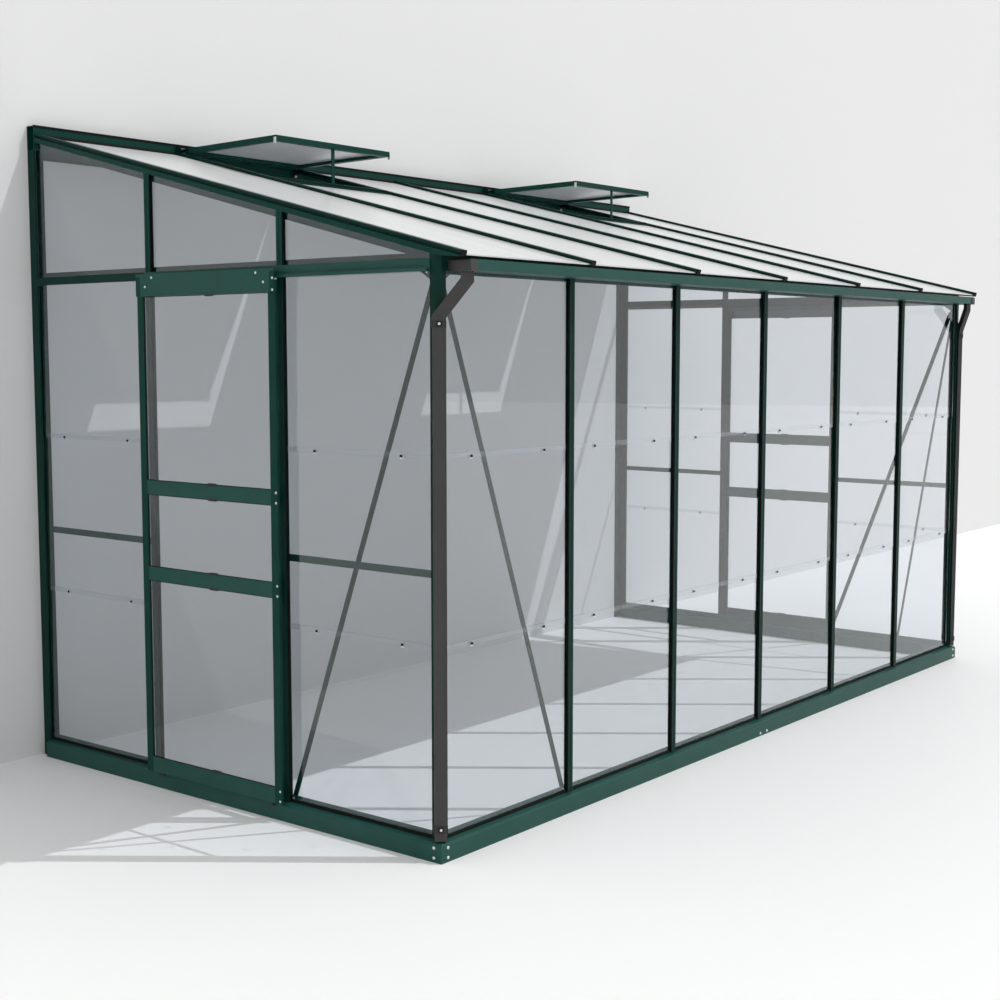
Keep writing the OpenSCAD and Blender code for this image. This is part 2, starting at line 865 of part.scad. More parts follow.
// Room for the vent's sheet, which lies in a groove all round
module vent_groove() {
    depth = vent_bar - groove;
    translate([-vent_w / 2 + depth, -vent_len + depth, vent_d - groove_w - skin])
        cube([vent_w - 2 * depth, vent_len - 2 * depth, groove_w]);
}

module vent_sheets() {
    depth = vent_bar - groove + play;
    color(milky) for (x = vents) on_vent(x)
        translate([-vent_w / 2 + depth, -vent_len + depth, vent_d - groove_w - skin + seat])
            cube([vent_w - 2 * depth, vent_len - 2 * depth, sheet]);
}

// Upright prop from the vent's cross bar to the rail at its free edge
module vent_props() {
    foot_n = seat + vent_sill_rise + seat;
    foot_s = vent_sill_s + vent_sill_w - vent_upstand / 2;
    v = foot_s * cos(roof_pitch) - foot_n * sin(roof_pitch);
    z0 = roof_plane_z(v, foot_n) + prop_t * slope;
    along = (vent_v - v) / cos(vent_phi);
    z1 = vent_z - along * sin(vent_phi) - seat - prop_t * abs(tan(vent_phi));
    color(dark_green) for (x = vents)
        translate([x - prop_w / 2, y_front + v - prop_t / 2, z0]) cube([prop_w, prop_t, z1 - z0]);
}

// Doors

// Track over the doorway and the bay in front of it: back plate, shelf and running lip
module door_track() {
    gable_rail(corner_in + seat, leaf_v1) {
        rect(cap_out + seat, track_z, cap_out + seat + skin, rail_top);
        rect(cap_out + seat, track_z, track_lip_d + skin, track_z + skin);
        rect(track_lip_d, track_z, track_lip_d + skin, track_z + skin + track_lip_h);
    }
}

module left_door_track() {
    color(green) door_track();
}

module right_door_track() {
    color(green) right_side() door_track();
}

// Pane groove of the leaf, between the stiles and from the bottom rail to the header
module leaf_groove() {
    mid = (leaf_in + leaf_out) / 2;
    gable_rail(leaf_v0 + stile_w - groove, leaf_v1 - stile_w + groove)
        rect(mid - groove_w / 2, leaf_bottom + bottom_rail_h - groove, mid + groove_w / 2, leaf_top + 1);
}

module door_stiles() {
    core = stile_w - groove - 2 * leaf_t;
    for (stile = [[leaf_v0, leaf_v0 + leaf_t], [leaf_v1 - stile_w, leaf_v1 - leaf_t - core]]) difference() {
        gable_rail(stile[0], stile[0] + stile_w) rect(leaf_in, leaf_bottom, leaf_out, leaf_top);
        leaf_groove();
        gable_rail(stile[1], stile[1] + core)
            rect(leaf_in + leaf_t, leaf_bottom - 1, leaf_out - leaf_t, leaf_top + 1);
    }
}

// Hollow rail section with its underside at z, and room for the groove below it and above it
module door_rail_section(z, h, below) {
    difference() {
        rect(leaf_in, z, leaf_out, z + h);
        rect(leaf_in + leaf_t, z + below + leaf_t, leaf_out - leaf_t, z + h - groove - leaf_t);
    }
}

module door_rails() {
    v0 = leaf_v0 + stile_w + seat;
    v1 = leaf_v1 - stile_w - seat;
    difference() {
        gable_rail(v0, v1) {
            door_rail_section(leaf_bottom, bottom_rail_h, 0);
            door_rail_section(low_rail_z, mid_rail_h, groove);
            door_rail_section(high_rail_z, mid_rail_h, groove);
        }
        door_panes(seat);
    }
    gable_rail(leaf_v0, leaf_v1)
        rect(leaf_out + seat, header_top - header_h, leaf_out + seat + header_t, header_top);
}

// The three panes of a leaf, grown by a clearance for their grooves
module door_panes(grow) {
    mid = (leaf_in + leaf_out) / 2;
    levels = [
        [leaf_bottom + bottom_rail_h, low_rail_z],
        [low_rail_z + mid_rail_h, high_rail_z],
        [high_rail_z + mid_rail_h, leaf_top - groove]
    ];
    for (level = levels)
        gable_rail(leaf_v0 + stile_w - groove + play, leaf_v1 - stile_w + groove - play)
            rect(mid - glass / 2 - grow, level[0] - groove + play - grow,
                mid + glass / 2 + grow, level[1] + groove - play + grow);
}

// Rollers on the track's lip, with axles to the header, and glides against the sill
module door_rollers() {
    mid = track_lip_d + skin / 2;
    axle_end = leaf_out;
    glide_l = 20;
    glide_h = 15;
    glide_top = leaf_bottom + 2;
    for (v = [leaf_v0 + roller_inset, leaf_v1 - roller_inset]) {
        translate([-x_gable - mid, y_front + v, roller_z]) rotate([0, -90, 0]) {
            rotate_extrude() polygon([
                [0, -roller_w / 2], [roller_r, -roller_w / 2], [roller_r - roller_groove, -skin / 2 - 0.5],
                [roller_r - roller_groove, skin / 2 + 0.5], [roller_r, roller_w / 2], [0, roller_w / 2]
            ]);
            cylinder(r = axle_r, h = axle_end - mid);
        }
        gable_rail(v - glide_l / 2, v + glide_l / 2)
            rect(sill_out + roller_play, glide_top - glide_h, leaf_in - seat, glide_top);
    }
}

module left_door_stiles() {
    color(green) door_stiles();
}

module left_door_rails() {
    color(green) door_rails();
}

module left_door_glass() {
    color(pane) door_panes(0);
}

module left_door_rollers() {
    color(nylon) door_rollers();
}

module right_door_stiles() {
    color(green) right_side() door_stiles();
}

module right_door_rails() {
    color(green) right_side() door_rails();
}

module right_door_glass() {
    color(pane) right_side() door_panes(0);
}

module right_door_rollers() {
    color(nylon) right_side() door_rollers();
}

front_sill_left();
front_sill_right();
left_gable_sill();
right_gable_sill();
sill_corner_cleats();
front_sill_splice();
corner_posts();
wall_posts();
front_bars();
front_bar_caps();
left_door_posts();
right_door_posts();
gable_bar_caps();
gable_cross_rails();
gable_mid_rails();
corner_braces();
eave_gussets();
eaves_gutter();
gutter_outlets();
left_downpipe();
right_downpipe();
downpipe_clips();
wall_ridge_bar();
gable_rafters();
roof_bars();
roof_bar_caps();
front_glass();
left_gable_glass();
right_gable_glass();
roof_sheets();
vent_sills();
vent_end_rails();
vent_side_bars();
vent_sheets();
vent_props();
left_door_track();
right_door_track();
left_door_stiles();
left_door_rails();
left_door_glass();
left_door_rollers();
right_door_stiles();
right_door_rails();
right_door_glass();
right_door_rollers();
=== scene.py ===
import math

import bmesh
import bpy
from mathutils import Matrix, Vector


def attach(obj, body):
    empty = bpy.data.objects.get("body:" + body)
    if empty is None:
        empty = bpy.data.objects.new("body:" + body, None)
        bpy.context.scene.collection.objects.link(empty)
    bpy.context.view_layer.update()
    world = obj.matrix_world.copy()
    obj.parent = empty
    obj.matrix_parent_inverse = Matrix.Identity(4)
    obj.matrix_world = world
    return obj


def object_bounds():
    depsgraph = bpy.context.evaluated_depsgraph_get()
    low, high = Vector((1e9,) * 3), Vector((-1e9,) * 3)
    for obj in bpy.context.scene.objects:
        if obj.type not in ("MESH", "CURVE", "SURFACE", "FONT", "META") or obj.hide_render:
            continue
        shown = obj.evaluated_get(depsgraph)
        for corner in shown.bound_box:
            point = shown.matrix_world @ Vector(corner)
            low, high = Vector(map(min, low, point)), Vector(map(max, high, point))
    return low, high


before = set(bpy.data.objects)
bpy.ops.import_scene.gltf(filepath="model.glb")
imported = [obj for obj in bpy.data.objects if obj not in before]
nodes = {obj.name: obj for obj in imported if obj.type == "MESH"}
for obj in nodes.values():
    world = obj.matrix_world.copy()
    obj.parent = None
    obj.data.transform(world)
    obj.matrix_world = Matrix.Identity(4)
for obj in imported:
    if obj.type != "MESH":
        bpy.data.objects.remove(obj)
cad_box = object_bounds()

# Sill: hollow aluminium extrusions that lie on the ground on three sides, mitred at the front
# corners and spliced at mid-length. They are powder coated dark green and joined by steel screws.


def linear(hex_colour):
    """Linear RGBA of an sRGB hex colour."""
    parts = [int(hex_colour[i:i + 2], 16) / 255 for i in (1, 3, 5)]
    return [p / 12.92 if p <= 0.04045 else ((p + 0.055) / 1.055) ** 2.4 for p in parts] + [1.0]


def add(tree, kind, inputs=None, **settings):
    """Adds a node: settings go on the node, inputs are values or the sockets they are linked to."""
    made = tree.nodes.new(kind)
    for name, value in settings.items():
        setattr(made, name, value)
    for name, value in (inputs or {}).items():
        if isinstance(value, bpy.types.NodeSocket):
            tree.links.new(value, made.inputs[name])
        else:
            made.inputs[name].default_value = value
    return made


def new_material(name):
    """An empty node material with its tree and its Material Output node."""
    made = bpy.data.materials.new(name)
    made.use_nodes = True
    made.node_tree.nodes.clear()
    return made, made.node_tree, made.node_tree.nodes.new("ShaderNodeOutputMaterial")


def finish_nodes(material, *names):
    """Gives CAD nodes their finish."""
    for name in names:
        mesh = nodes[name].data
        mesh.materials.clear()
        mesh.materials.append(material)


def powder_coat(name, light, dark, shine, mirror):
    """Polyester powder coat on aluminium: satin, with faint cloudy tone and an orange-peel skin.
    The peel is drawn 5 mm wide, coarser than the real 1 mm, so that it shows."""
    material, tree, out = new_material(name)
    spot = add(tree, "ShaderNodeTexCoord").outputs["Object"]
    cloud = add(tree, "ShaderNodeTexNoise", {"Vector": spot, "Scale": 1 / 0.09, "Detail": 3.0})
    tone = add(tree, "ShaderNodeMix", {
        "Factor": cloud.outputs["Fac"], "A": linear(dark), "B": linear(light)}, data_type="RGBA")
    peel = add(tree, "ShaderNodeTexNoise", {"Vector": spot, "Scale": 1 / 0.005, "Detail": 1.0})
    sheen = add(tree, "ShaderNodeMapRange", {
        "Value": peel.outputs["Fac"], "To Min": shine - 0.08, "To Max": shine + 0.08})
    bump = add(tree, "ShaderNodeBump", {
        "Height": peel.outputs["Fac"], "Strength": 0.12, "Distance": 0.0006})
    shader = add(tree, "ShaderNodeBsdfPrincipled", {
        "Base Color": tone.outputs["Result"], "Roughness": sheen.outputs["Result"],
        "Normal": bump.outputs["Normal"], "IOR": 1.45, "Specular IOR Level": mirror})
    tree.links.new(shader.outputs["BSDF"], out.inputs["Surface"])
    return material


green_coat = powder_coat("dark_green_powder_coat", "#1c4c45", "#114039", 0.42, 0.27)
finish_nodes(green_coat, "front_sill_left", "front_sill_right", "left_gable_sill",
             "right_gable_sill", "sill_corner_cleats", "front_sill_splice")

bay = 0.62
x_gable = 3 * bay
y_front = -0.8935
both_sides = (-1, 1)
sill_out = 0.033
ledge = 0.06


def front_spot(x, out, z):
    """A point on the front wall, out metres in front of the glass seat."""
    return Vector((x, y_front - out, z))


def gable_spot(side, v, out, z):
    """A point on a gable, v metres behind the front glass seat and out metres outside the gable's."""
    return Vector((side * (x_gable + out), y_front + v, z))


def facing(spot, way):
    """Place of a fitting that sits at a spot and points a way."""
    return Matrix.Translation(spot) @ Vector(way).to_track_quat("Z", "Y").to_matrix().to_4x4()


def screw_head(radius, height):
    """Pan head screw on its seat at the origin, pointing along +Z, with a round socket in its top."""
    bm = bmesh.new()
    outline = [(0, 0.5), (0.36, 0.5), (0.42, 0.98), (0.7, 0.9), (0.93, 0.55), (1, 0.12), (1, -0.1),
               (0, -0.1)]
    points = [bm.verts.new((radius * across, 0, height * up)) for across, up in outline]
    edges = [bm.edges.new(pair) for pair in zip(points, points[1:])]
    bmesh.ops.spin(bm, geom=points + edges, cent=(0, 0, 0), axis=(0, 0, 1), angle=2 * math.pi,
                   steps=12, use_merge=True)
    bmesh.ops.remove_doubles(bm, verts=bm.verts, dist=1e-6)
    return bm


def stamp(shape, places):
    """Copies of a shape at each of the places."""
    made = bmesh.new()
    for place in places:
        copy = shape.copy()
        bmesh.ops.transform(copy, matrix=place, verts=copy.verts)
        mesh = bpy.data.meshes.new("stamp")
        copy.to_mesh(mesh)
        copy.free()
        made.from_mesh(mesh)
        bpy.data.meshes.remove(mesh)
    return made


def piece(name, bm, material, body="house"):
    """A finished piece that rides on a body."""
    bmesh.ops.recalc_face_normals(bm, faces=bm.faces)
    mesh = bpy.data.meshes.new(name)
    bm.to_mesh(mesh)
    bm.free()
    mesh.materials.append(material)
    mesh.shade_smooth()
    mesh.set_sharp_from_angle(angle=math.radians(35))
    made = bpy.data.objects.new(name, mesh)
    bpy.context.scene.collection.objects.link(made)
    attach(made, body)


def plated_steel(name, light, dark):
    """Zinc plated steel: bright, a little cloudy, with fine turning marks drawn 1 mm wide."""
    material, tree, out = new_material(name)
    spot = add(tree, "ShaderNodeTexCoord").outputs["Object"]
    cloud = add(tree, "ShaderNodeTexNoise", {"Vector": spot, "Scale": 1 / 0.004, "Detail": 2.0})
    tone = add(tree, "ShaderNodeMix", {
        "Factor": cloud.outputs["Fac"], "A": linear(dark), "B": linear(light)}, data_type="RGBA")
    mark = add(tree, "ShaderNodeTexNoise", {"Vector": spot, "Scale": 1 / 0.001})
    rough = add(tree, "ShaderNodeMapRange", {
        "Value": mark.outputs["Fac"], "To Min": 0.24, "To Max": 0.42})
    shader = add(tree, "ShaderNodeBsdfPrincipled", {
        "Base Color": tone.outputs["Result"], "Metallic": 1.0, "Roughness": rough.outputs["Result"]})
    tree.links.new(shader.outputs["BSDF"], out.inputs["Surface"])
    return material


zinc = plated_steel("zinc_plated_steel", "#f0f1f1", "#d9dbdc")
sill_screw_zs = (0.0138, 0.0432)
corner_inset = 0.0045
splice_half = 0.0255
splice_z = 0.0112
sill_screw = screw_head(0.0052, 0.0032)
places = [facing(gable_spot(side, -corner_inset, sill_out, z), (side, 0, 0))
          for side in both_sides for z in sill_screw_zs]
places += [facing(front_spot(side * (x_gable + corner_inset), sill_out, z), (0, -1, 0))
           for side in both_sides for z in sill_screw_zs]
places += [facing(front_spot(side * splice_half, sill_out, splice_z), (0, -1, 0))
           for side in both_sides]
piece("sill_screws", stamp(sill_screw, places), zinc)

# Glazing strips: black rubber lips on the sill's ledge that close the foot of the lowest panes.
# They are cut to the bays and pressed between the bars.


def moulded_rubber(name, light, dark):
    """Black synthetic rubber: dull, with a faint bloom. Its grain is drawn 3 mm wide, to show."""
    material, tree, out = new_material(name)
    spot = add(tree, "ShaderNodeTexCoord").outputs["Object"]
    bloom = add(tree, "ShaderNodeTexNoise", {"Vector": spot, "Scale": 1 / 0.05, "Detail": 4.0})
    tone = add(tree, "ShaderNodeMix", {
        "Factor": bloom.outputs["Fac"], "A": linear(dark), "B": linear(light)}, data_type="RGBA")
    grain = add(tree, "ShaderNodeTexNoise", {"Vector": spot, "Scale": 1 / 0.003, "Detail": 2.0})
    bump = add(tree, "ShaderNodeBump", {
        "Height": grain.outputs["Fac"], "Strength": 0.2, "Distance": 0.0004})
    shader = add(tree, "ShaderNodeBsdfPrincipled", {
        "Base Color": tone.outputs["Result"], "Roughness": 0.62, "Normal": bump.outputs["Normal"],
        "IOR": 1.4, "Specular IOR Level": 0.15})
    tree.links.new(shader.outputs["BSDF"], out.inputs["Surface"])
    return material


def extruded(bm, outline, start, end, across, out):
    """Extrudes an outline, drawn as (across, out) points, from start to end."""
    face = bm.faces.new([bm.verts.new(start + across * p + out * q) for p, q in outline])
    moved = bmesh.ops.extrude_face_region(bm, geom=[face])["geom"]
    far_end = [g for g in moved if isinstance(g, bmesh.types.BMVert)]
    bmesh.ops.translate(bm, verts=far_end, vec=end - start)


rubber = moulded_rubber("black_glazing_rubber", "#121414", "#0a0b0b")
up, front = Vector((0, 0, 1)), Vector((0, -1, 0))
lip_outline = [(0, 0), (0.0036, 0), (0.0036, 0.0058), (0.0026, 0.0082), (0.001, 0.009), (0, 0.0087)]
strip_out = 0.0067
strip_z = ledge + 0.0002
strip_gap = 0.0006
cap_half = 0.0125
corner_half = 0.015
bar_xs = [bay * (i - 3) for i in range(7)]
strips = bmesh.new()
for left, right in zip(bar_xs, bar_xs[1:]):
    start = left + (corner_half if left == bar_xs[0] else cap_half) + strip_gap
    end = right - (corner_half if right == bar_xs[-1] else cap_half) - strip_gap
    extruded(strips, lip_outline, front_spot(start, strip_out, strip_z),
             front_spot(end, strip_out, strip_z), front, up)
for side in both_sides:
    for start, end in ((corner_half, bay - cap_half), (2 * bay + cap_half, 3 * bay - corner_half)):
        extruded(strips, lip_outline, gable_spot(side, start + strip_gap, strip_out, strip_z),
                 gable_spot(side, end - strip_gap, strip_out, strip_z), Vector((side, 0, 0)), up)
piece("sill_glazing_strips", strips, rubber)

# Posts and upright bars: extruded aluminium bars with a seat for the glass and a pressed-on cap.
# They stand on the sill and are bolted to it, to the eaves and to the gable rafters.
# A darker copy of the one green powder coat. Its darker tone is painted shade, for the shade in which
# the posts, bars, caps, braces, roof bars, vent sills and hinge plates stand.
painted_shade_coat = powder_coat("green_powder_coat_painted_shade", "#0d342d", "#082822", 0.36, 0.1)
finish_nodes(painted_shade_coat, "corner_posts", "wall_posts", "front_bars", "front_bar_caps",
             "left_door_posts", "right_door_posts")
# A second, less dark copy of the same coat. Its darker tone is painted shade, softer, for the gable
# caps and rails, the ridge bar, rafters, vent frames and door stiles.
painted_soft_shade_coat = powder_coat("green_powder_coat_painted_soft_shade", "#103e36", "#0a332c", 0.4, 0.1)
finish_nodes(painted_soft_shade_coat, "gable_bar_caps")

# Bar seals: black rubber fins on both sides of every cap, pressed between the cap and the glass,
# and beads beside the corner posts. They run the whole height and show as black lines. The
# corner beads are partly seal and partly painted shade: their black stands for the shade in the
# gap beside each corner post's face.
fin_outline = [(0, 0), (0.0021, 0), (0.0021, 0.0058), (0.0015, 0.0072), (0.0006, 0.0078),
               (0, 0.0074)]
fin_out = 0.0066
eave_foot = 1.682
rail_foot, rail_top = 1.6905, 1.7185
pitch = math.radians(14)
eave_h = 1.743
rafter_start, rafter_depth = 0.03, 0.017
fins = bmesh.new()
for x in bar_xs[1:-1]:
    for side in both_sides:
        edge = x + side * cap_half
        extruded(fins, fin_outline, front_spot(edge, fin_out, strip_z),
                 front_spot(edge, fin_out, eave_foot), Vector((side, 0, 0)), front)
piece("front_bar_seals", fins, rubber)
fins = bmesh.new()
for side in both_sides:
    for v in (bay, 2 * bay):
        rafter_foot = eave_h + (v - rafter_start) * math.tan(pitch) - rafter_depth
        for way in both_sides:
            edge = v + way * cap_half
            for z0, z1 in ((strip_z, rail_foot), (rail_top, rafter_foot)):
                extruded(fins, fin_outline, gable_spot(side, edge, fin_out, z0),
                         gable_spot(side, edge, fin_out, z1), Vector((0, way, 0)),
                         Vector((side, 0, 0)))
piece("gable_bar_seals", fins, rubber)
bead_outline = [(0.0152, 0.0108), (0.0174, 0.0108), (0.0176, 0.0128), (0.0168, 0.0144),
                (0.0152, 0.0144)]
bead_top = 1.64
# Partly painted shade: the black corner beads stand for the shaded gap beside each post's face.
beads = bmesh.new()
for side in both_sides:
    extruded(beads, bead_outline, front_spot(side * x_gable, 0, strip_z),
             front_spot(side * x_gable, 0, bead_top), Vector((-side, 0, 0)), front)
    extruded(beads, bead_outline, gable_spot(side, 0, 0, strip_z), gable_spot(side, 0, 0, bead_top),
             Vector((0, 1, 0)), Vector((side, 0, 0)))
piece("corner_post_seals_and_painted_shade", beads, rubber)

# Gable rails: the cross rail over the door and the flat rails at middle height behind the glass.
# They are aluminium flats and channels, screwed to the uprights.
# Painted shade: the cross rails take the darkest copy of the green coat, and the mid rails take the
# less dark one.
finish_nodes(painted_shade_coat, "gable_cross_rails")
finish_nodes(painted_soft_shade_coat, "gable_mid_rails")

# Braces and gussets: flat aluminium straps across the first bay beside each front corner, and
# triangular plates above them. Bolts with round heads fix them to the sill, posts and rails.
# Painted shade: the braces and gussets take the darkest copy of the green coat.
finish_nodes(painted_shade_coat, "corner_braces", "eave_gussets")
brace_in = 0.0062
brace_foot_at, brace_head_at = (0.601, 0.07), (0.031, 1.622)
gusset_at = (0.043, 1.681)
gusset_in = 0.0032
brace_bolt = screw_head(0.0048, 0.0026)
places = []
for side in both_sides:
    spots = [(brace_foot_at, 0.0), (gusset_at, -gusset_in)]
    places += [facing(gable_spot(side, v, out, z), (side, 0, 0)) for (v, z), out in spots]
    foot = front_spot(side * (x_gable - brace_foot_at[0]), 0.0, brace_foot_at[1])
    places.append(facing(foot, (0, -1, 0)))
    for a, z in (brace_foot_at, brace_head_at, gusset_at):
        places.append(facing(gable_spot(side, a, -brace_in, z), (-side, 0, 0)))
        places.append(facing(front_spot(side * (x_gable - a), -brace_in, z), (0, 1, 0)))
piece("brace_bolts", stamp(brace_bolt, places), zinc)

# Eaves gutter: an aluminium extrusion in two lengths that closes the front wall and carries the
# roof bars. A thin rubber sleeve in the trough seals the joint over the middle bar.
finish_nodes(green_coat, "eaves_gutter")
gutter_floor = 1.68477
sleeve_half = 0.03
sleeve = bmesh.new()
sleeve_outline = [(0.0114, 0.016), (0.0114, 0.0003), (0.0952, 0.0003), (0.0952, 0.022),
                  (0.0937, 0.022), (0.0937, 0.0018), (0.0129, 0.0018), (0.0129, 0.016)]
extruded(sleeve, sleeve_outline, front_spot(-sleeve_half, 0, gutter_floor),
         front_spot(sleeve_half, 0, gutter_floor), front, up)
piece("gutter_joint_sleeve", sleeve, rubber)

# Outlets and downpipes: a dark grey plastic saddle under each end of the gutter, and a flat pipe
# with a swan neck on each corner post. Two clips, each with a screw and a washer, hold a pipe.


def moulded_plastic(name, light, dark, rough):
    """Moulded plastic: even tone with a fine spark-eroded grain, drawn 2 mm wide, to show."""
    material, tree, out = new_material(name)
    spot = add(tree, "ShaderNodeTexCoord").outputs["Object"]
    cloud = add(tree, "ShaderNodeTexNoise", {"Vector": spot, "Scale": 1 / 0.06, "Detail": 4.0})
    tone = add(tree, "ShaderNodeMix", {
        "Factor": cloud.outputs["Fac"], "A": linear(dark), "B": linear(light)}, data_type="RGBA")
    grain = add(tree, "ShaderNodeTexNoise", {"Vector": spot, "Scale": 1 / 0.002, "Detail": 2.0})
    bump = add(tree, "ShaderNodeBump", {
        "Height": grain.outputs["Fac"], "Strength": 0.15, "Distance": 0.0004})
    shader = add(tree, "ShaderNodeBsdfPrincipled", {
        "Base Color": tone.outputs["Result"], "Roughness": rough, "Normal": bump.outputs["Normal"],
        "IOR": 1.46})
    tree.links.new(shader.outputs["BSDF"], out.inputs["Surface"])
    return material


pipe_plastic = moulded_plastic("dark_grey_pipe_plastic", "#363434", "#2d2b2b", 0.45)
finish_nodes(pipe_plastic, "gutter_outlets", "left_downpipe", "right_downpipe")
clip_plastic = moulded_plastic("black_clip_plastic", "#252424", "#1d1c1c", 0.5)
finish_nodes(clip_plastic, "downpipe_clips")


def corner_spot(side, along, out, z):
    """A point on a corner post's chamfer: along the pipe's face, and out from the post's corner."""
    x = (along - out) * math.sqrt(0.5)
    return Vector((-side * (-x_gable + x), y_front - (along + out) * math.sqrt(0.5), z))


clip_face = 0.0331
clip_zs = (0.0965, 1.5348)
washer, washer_seat = screw_head(0.0085, 0.0018), 0.0012
clip_screw = screw_head(0.0046, 0.0034)
washers, heads = [], []
for side in both_sides:
    outward = corner_spot(side, 0, 1, 0) - corner_spot(side, 0, 0, 0)
    washers += [facing(corner_spot(side, 0, clip_face, z), outward) for z in clip_zs]
    heads += [facing(corner_spot(side, 0, clip_face + washer_seat, z), outward) for z in clip_zs]
piece("pipe_clip_washers", stamp(washer, washers), rubber)
piece("pipe_clip_screws", stamp(clip_screw, heads), zinc)

pipe_back, pipe_front, pipe_half = 0.0135, 0.0309, 0.018
collar_z0, collar_z1 = 1.5466, 1.5535
collar_play, collar_lip = 0.0002, 0.0014
inner_half, inner_front = pipe_half + collar_play, pipe_front + collar_play
outer_half, outer_front = pipe_half + collar_lip, pipe_front + collar_lip
ring = [(-inner_half, pipe_back), (-inner_half, inner_front), (inner_half, inner_front),
        (inner_half, pipe_back), (outer_half, pipe_back), (outer_half, outer_front),
        (-outer_half, outer_front), (-outer_half, pipe_back)]
collar = bmesh.new()
for side in both_sides:
    along = corner_spot(side, 1, 0, 0) - corner_spot(side, 0, 0, 0)
    outward = corner_spot(side, 0, 1, 0) - corner_spot(side, 0, 0, 0)
    extruded(collar, ring, corner_spot(side, 0, 0, collar_z0), corner_spot(side, 0, 0, collar_z1),
             along, outward)
piece("pipe_collars", collar, pipe_plastic)

# Roof frame: the ridge bar on the house wall, a rafter on each gable and five glazing bars, all
# with caps. Rubber plugs close the caps over the gutter, aluminium plates close the rafters' tails,
# and rubber seals lie on the ridge bar's top edge and at its foot on the sheets. The strip on the
# top edge is partly seal and partly painted shade: it is drawn tall, and its black stands for the
# shade on the ridge bar's upper part.
# Painted shade: the ridge bar and rafters take the less dark copy of the green coat, and the roof
# bars and their caps take the darkest.
finish_nodes(painted_soft_shade_coat, "wall_ridge_bar", "gable_rafters")
finish_nodes(painted_shade_coat, "roof_bars", "roof_bar_caps")


def roof_spot(x, s, n):
    """A point on the roof: s metres up the slope from the front wall, n above the sheets' seat."""
    return Vector((x, y_front + s * math.cos(pitch) - n * math.sin(pitch),
                   eave_h + s * math.sin(pitch) + n * math.cos(pitch)))


uphill = roof_spot(0, 1, 0) - roof_spot(0, 0, 0)
off_roof = roof_spot(0, 0, 1) - roof_spot(0, 0, 0)
along_x = Vector((1, 0, 0))
tip_s = -0.09334
plug_thick = 0.0022
plug_outline = [(-0.0122, -0.0028), (0.0122, -0.0028), (0.0122, 0.0135), (0.011, 0.0147),
                (-0.011, 0.0147), (-0.0122, 0.0135)]
plugs = bmesh.new()
for x in bar_xs:
    extruded(plugs, plug_outline, roof_spot(x, tip_s, 0), roof_spot(x, tip_s - plug_thick, 0),
             along_x, off_roof)
piece("roof_bar_end_plugs", plugs, rubber)

tail_outline = [(-0.0152, -0.0158), (-0.0152, -0.0004), (-0.093, -0.0004), (-0.093, -0.004)]
tail_out, tail_thick = 0.0122, 0.0027
tails = bmesh.new()
for side in both_sides:
    start = roof_spot(side * (x_gable + tail_out), 0, 0)
    extruded(tails, tail_outline, start, start + along_x * side * tail_thick, uphill, off_roof)
# Painted shade: the tail plates take the less dark copy of the green coat.
piece("rafter_tails", tails, painted_soft_shade_coat)

ridge_front, ridge_top, ridge_half = 1.845, 2.245, 1.875
backward = Vector((0, 1, 0))
# Partly painted shade: the tall black top strip also stands for the shade on the ridge bar's upper
# part.
seal_and_shade_outline = [(-0.0016, -0.0065), (0.0, -0.0065), (0.0, 0.0002), (0.006, 0.0002), (0.006, 0.0016),
                (0.0, 0.0022), (-0.0016, 0.0012)]
seal = bmesh.new()
extruded(seal, seal_and_shade_outline, Vector((-ridge_half, y_front + ridge_front, ridge_top)),
         Vector((ridge_half, y_front + ridge_front, ridge_top)), backward, up)
foot_outline = [(-0.004, 0), (-0.0002, 0), (-0.0002, 0.009), (-0.0016, 0.011), (-0.0034, 0.008)]
sheet_end_s, sheet_top_n = 1.8952, 0.0044
ridge_foot = roof_spot(0, sheet_end_s, sheet_top_n).z
foot_half = x_gable - 0.02
extruded(seal, foot_outline, Vector((-foot_half, y_front + ridge_front, ridge_foot)),
         Vector((foot_half, y_front + ridge_front, ridge_foot)), backward, up)
piece("ridge_seals_and_painted_shade", seal, rubber)

# Rafter clips: pairs of short dark steel springs on the inner leg of each gable rafter, which hold
# the upper edge of the gable glass. They show through the glass below the rafter's face.
dark_steel = plated_steel("dark_spring_steel", "#3c3f40", "#2a2c2d")
first_clip, clip_step = 0.096, 0.2085
clip_vs = [first_clip + clip_step * i for i in range(8)]
clip_ns = (-0.0205, -0.0265)
spring_in, spring_thick = 0.0032, 0.0022
spring_outline = [(-0.011, -0.0014), (0.011, -0.0014), (0.0118, 0.0), (0.011, 0.0014),
                  (-0.011, 0.0014), (-0.0118, 0.0)]
springs = bmesh.new()
for side in both_sides:
    for v in clip_vs:
        for n in clip_ns:
            spot = roof_spot(side * (x_gable - spring_in), v / math.cos(pitch), n)
            extruded(springs, spring_outline, spot, spot + along_x * side * spring_thick, uphill,
                     off_roof)
piece("rafter_clips", springs, dark_steel)

# Wall glass: 3 mm horticultural float glass in three lapped rows, clear with a faint blue cast.
# Light passes it with little loss, so lamps shine through it, and it mirrors the bright room.


